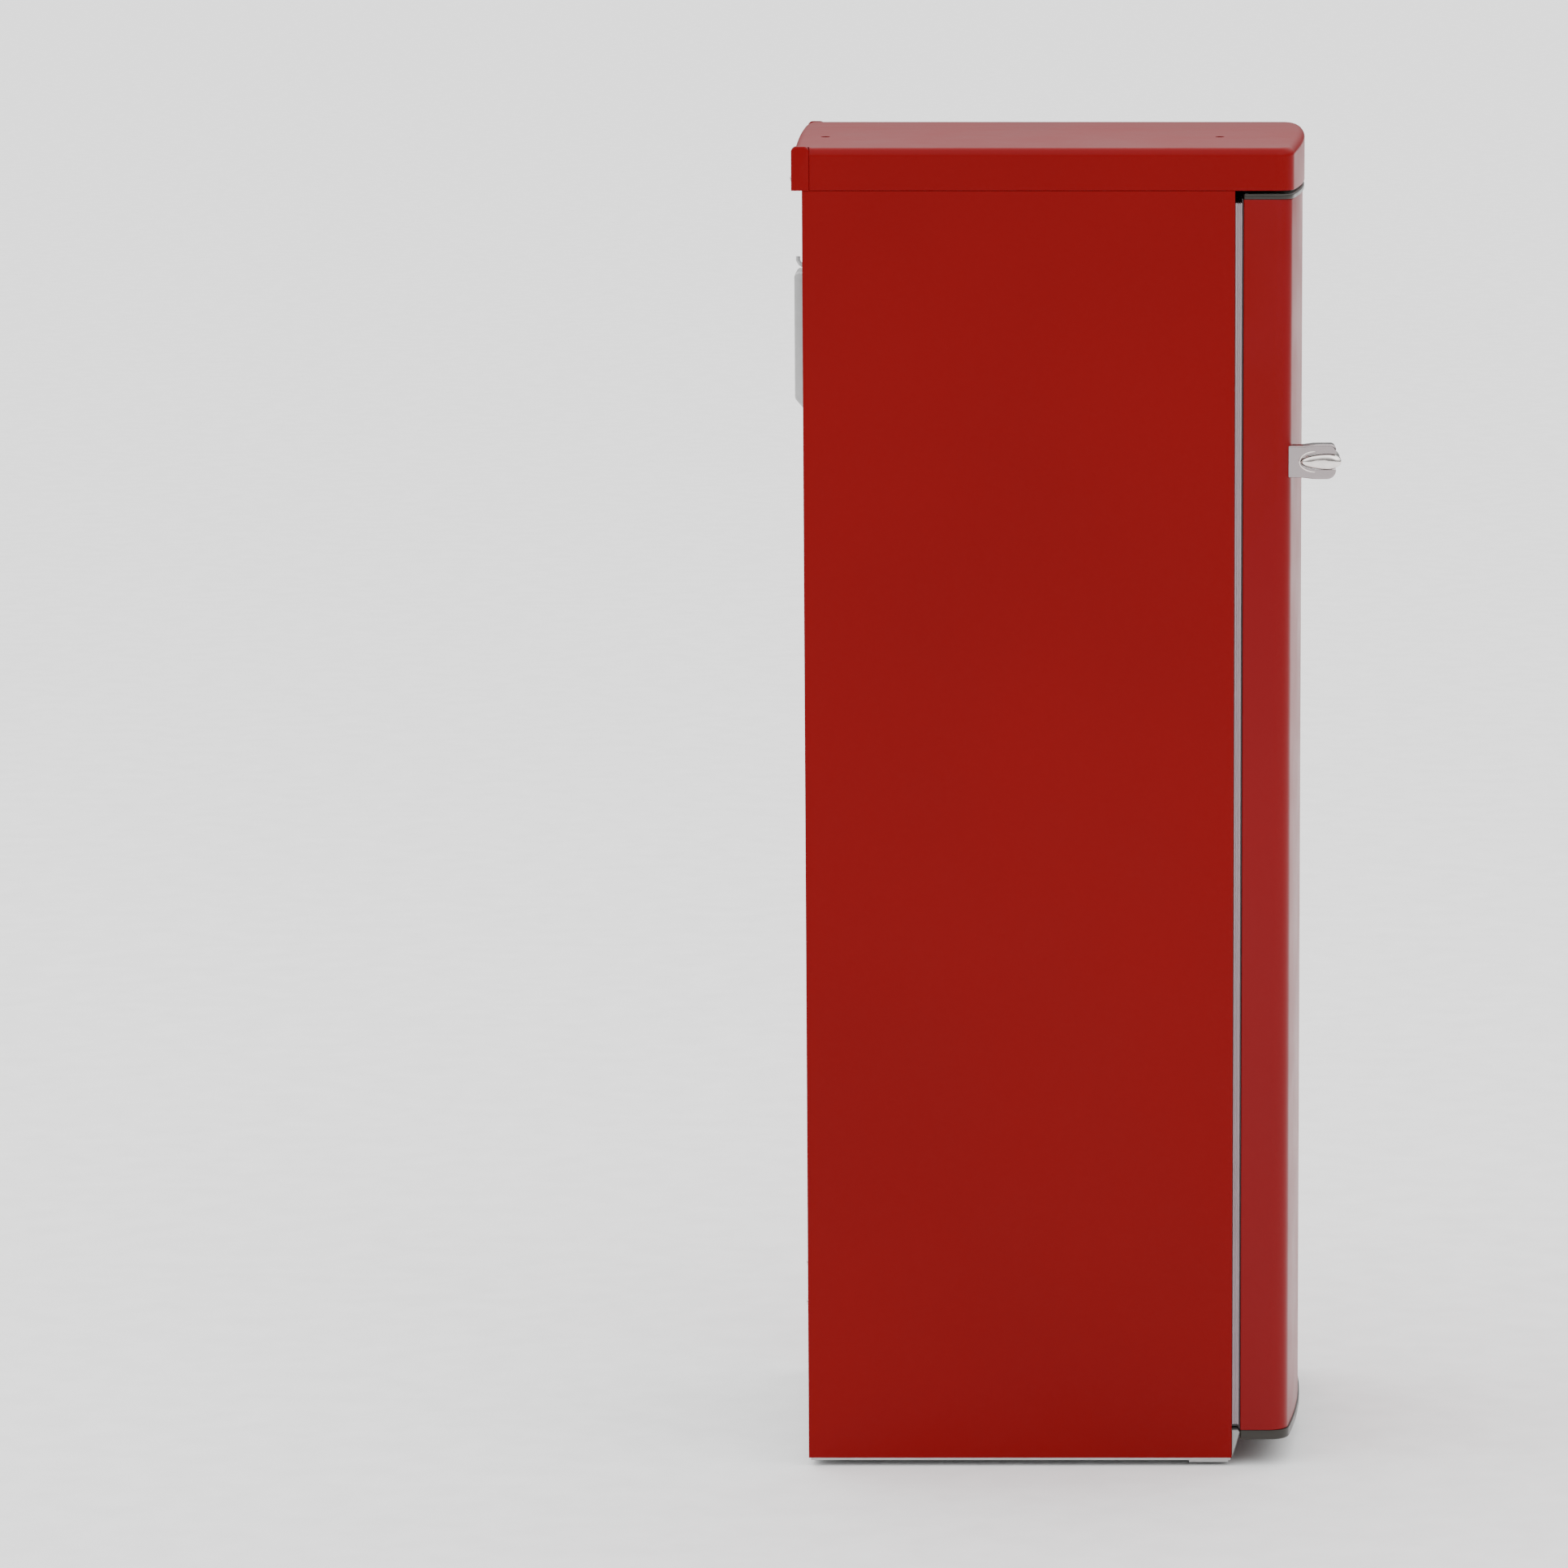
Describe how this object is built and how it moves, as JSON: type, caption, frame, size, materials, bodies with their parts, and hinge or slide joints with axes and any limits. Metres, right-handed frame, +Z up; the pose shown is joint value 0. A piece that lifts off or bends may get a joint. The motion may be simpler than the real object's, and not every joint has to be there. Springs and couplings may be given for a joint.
{
  "type": "retro single-door refrigerator",
  "caption": "Tall retro refrigerator with a rounded hood, bowed door hinged on its right, short chrome lever handle, glass shelves, drawers and door bins.",
  "frame": {"origin": "centre of the overall footprint, handle included, on the floor", "axes": "+Z up; the door faces -Y; +X is the hinge side, to the right as seen from the front"},
  "size_m": [0.6, 0.7228, 1.7734],
  "materials": {
    "cabinet_shell": "gloss enamel",
    "back_panel": "plain sheet steel",
    "base_tray": "plain sheet steel",
    "front_crossmember": "plain sheet steel",
    "inner_liner": "satin moulded",
    "top_hood": "gloss painted plastic",
    "hood_cap_left": "gloss painted plastic",
    "hood_cap_right": "gloss painted plastic",
    "cap_screw_left": "polished",
    "cap_screw_right": "polished",
    "hood_underplate": "satin moulded",
    "top_hinge_plate": "plain sheet steel",
    "bottom_hinge_bracket": "plain sheet steel",
    "lower_gusset": "plain sheet steel",
    "rear_cover_box": "plain sheet steel",
    "rear_service_tube": "plain sheet steel",
    "compressor": "satin black",
    "compressor_cover": "plain sheet steel",
    "cover_screw_1": "polished",
    "cover_screw_2": "polished",
    "cover_screw_3": "polished",
    "cover_screw_4": "polished",
    "drip_tray": "matte",
    "condenser_coil": "drawn tube",
    "power_inlet": "matte",
    "roller_bracket_left": "plain sheet steel",
    "roller_bracket_right": "plain sheet steel",
    "shelf_glass_1": "polished",
    "shelf_glass_2": "polished",
    "shelf_glass_3": "polished",
    "shelf_trim_1": "polished",
    "shelf_trim_2": "polished",
    "shelf_trim_3": "polished",
    "crisper_cover": "polished",
    "thermostat_housing": "satin moulded",
    "lamp_lens": "clear moulded",
    "switch_body": "satin moulded",
    "evaporator_cover": "satin moulded",
    "door_skin": "gloss enamel",
    "door_top_trim": "dark satin",
    "door_bottom_trim": "dark satin",
    "door_liner": "satin moulded",
    "door_gasket": "matte",
    "handle_base": "polished",
    "handle_lever": "polished",
    "door_bin_1": "clear moulded",
    "door_bin_2": "clear moulded",
    "door_bin_3": "clear moulded",
    "door_bin_4": "clear moulded",
    "dairy_lid": "clear moulded",
    "crisper_drawer_left": "clear moulded",
    "crisper_drawer_right": "clear moulded",
    "thermostat_knob": "satin moulded",
    "light_switch": "satin moulded",
    "levelling_foot_left": "matte",
    "levelling_foot_right": "matte",
    "rear_roller_left": "matte",
    "rear_roller_right": "matte"
  },
  "bodies": {
    "cabinet": {"cabinet_shell": "cabinet_shell", "back_panel": "back_panel", "base_tray": "base_tray", "front_crossmember": "front_crossmember", "inner_liner": "inner_liner", "top_hood": "top_hood", "hood_cap_left": "hood_cap_left", "hood_cap_right": "hood_cap_right", "cap_screw_left": "cap_screw_left", "cap_screw_right": "cap_screw_right", "hood_underplate": "hood_underplate", "top_hinge_plate": "top_hinge_plate", "bottom_hinge_bracket": "bottom_hinge_bracket", "lower_gusset": "lower_gusset", "rear_cover_box": "rear_cover_box", "rear_service_tube": "rear_service_tube", "compressor": "compressor", "compressor_cover": "compressor_cover", "cover_screw_1": "cover_screw_1", "cover_screw_2": "cover_screw_2", "cover_screw_3": "cover_screw_3", "cover_screw_4": "cover_screw_4", "drip_tray": "drip_tray", "condenser_coil": "condenser_coil", "power_inlet": "power_inlet", "roller_bracket_left": "roller_bracket_left", "roller_bracket_right": "roller_bracket_right", "shelf_glass_1": "shelf_glass_1", "shelf_glass_2": "shelf_glass_2", "shelf_glass_3": "shelf_glass_3", "shelf_trim_1": "shelf_trim_1", "shelf_trim_2": "shelf_trim_2", "shelf_trim_3": "shelf_trim_3", "crisper_cover": "crisper_cover", "thermostat_housing": "thermostat_housing", "lamp_lens": "lamp_lens", "switch_body": "switch_body", "evaporator_cover": "evaporator_cover"},
    "door": {"door_skin": "door_skin", "door_top_trim": "door_top_trim", "door_bottom_trim": "door_bottom_trim", "door_liner": "door_liner", "door_gasket": "door_gasket", "handle_base": "handle_base", "handle_lever": "handle_lever", "door_bin_1": "door_bin_1", "door_bin_2": "door_bin_2", "door_bin_3": "door_bin_3", "door_bin_4": "door_bin_4"},
    "lid": {"dairy_lid": "dairy_lid"},
    "drawer_left": {"crisper_drawer_left": "crisper_drawer_left"},
    "drawer_right": {"crisper_drawer_right": "crisper_drawer_right"},
    "knob": {"thermostat_knob": "thermostat_knob"},
    "switch": {"light_switch": "light_switch"},
    "foot_left": {"levelling_foot_left": "levelling_foot_left"},
    "foot_right": {"levelling_foot_right": "levelling_foot_right"},
    "roller_left": {"rear_roller_left": "rear_roller_left"},
    "roller_right": {"rear_roller_right": "rear_roller_right"}
  },
  "joints": [
    {"name": "door_hinge", "type": "hinge", "parent": "cabinet", "child": "door", "pos_m": [0.278, -0.25145, 0.87], "axis": [0, 0, 1], "range_deg": [0, 112]},
    {"name": "dairy_lid_hinge", "type": "hinge", "parent": "door", "child": "lid", "pos_m": [0, -0.19545, 1.454], "axis": [1, 0, 0], "range_deg": [0, 75]},
    {"name": "left_drawer_slide", "type": "slide", "parent": "cabinet", "child": "drawer_left", "axis": [0, -1, 0], "range_m": [0, 0.09]},
    {"name": "right_drawer_slide", "type": "slide", "parent": "cabinet", "child": "drawer_right", "axis": [0, -1, 0], "range_m": [0, 0.09]},
    {"name": "thermostat_turn", "type": "hinge", "parent": "cabinet", "child": "knob", "pos_m": [0, -0.07475, 1.648], "axis": [0, -1, 0], "range_deg": [0, 270]},
    {"name": "light_switch_press", "type": "slide", "parent": "cabinet", "child": "switch", "axis": [0, 1, 0], "range_m": [0, 0.004], "stiffness_N_per_m": 150},
    {"name": "left_foot_turn", "type": "hinge", "parent": "cabinet", "child": "foot_left", "pos_m": [-0.262, -0.20345, 0], "axis": [0, 0, 1], "continuous": true},
    {"name": "right_foot_turn", "type": "hinge", "parent": "cabinet", "child": "foot_right", "pos_m": [0.25, -0.17445, 0], "axis": [0, 0, 1], "continuous": true},
    {"name": "left_roller_spin", "type": "hinge", "parent": "cabinet", "child": "roller_left", "pos_m": [-0.235, 0.31055, 0.012], "axis": [1, 0, 0], "continuous": true},
    {"name": "right_roller_spin", "type": "hinge", "parent": "cabinet", "child": "roller_right", "pos_m": [0.235, 0.31055, 0.012], "axis": [1, 0, 0], "continuous": true}
  ]
}
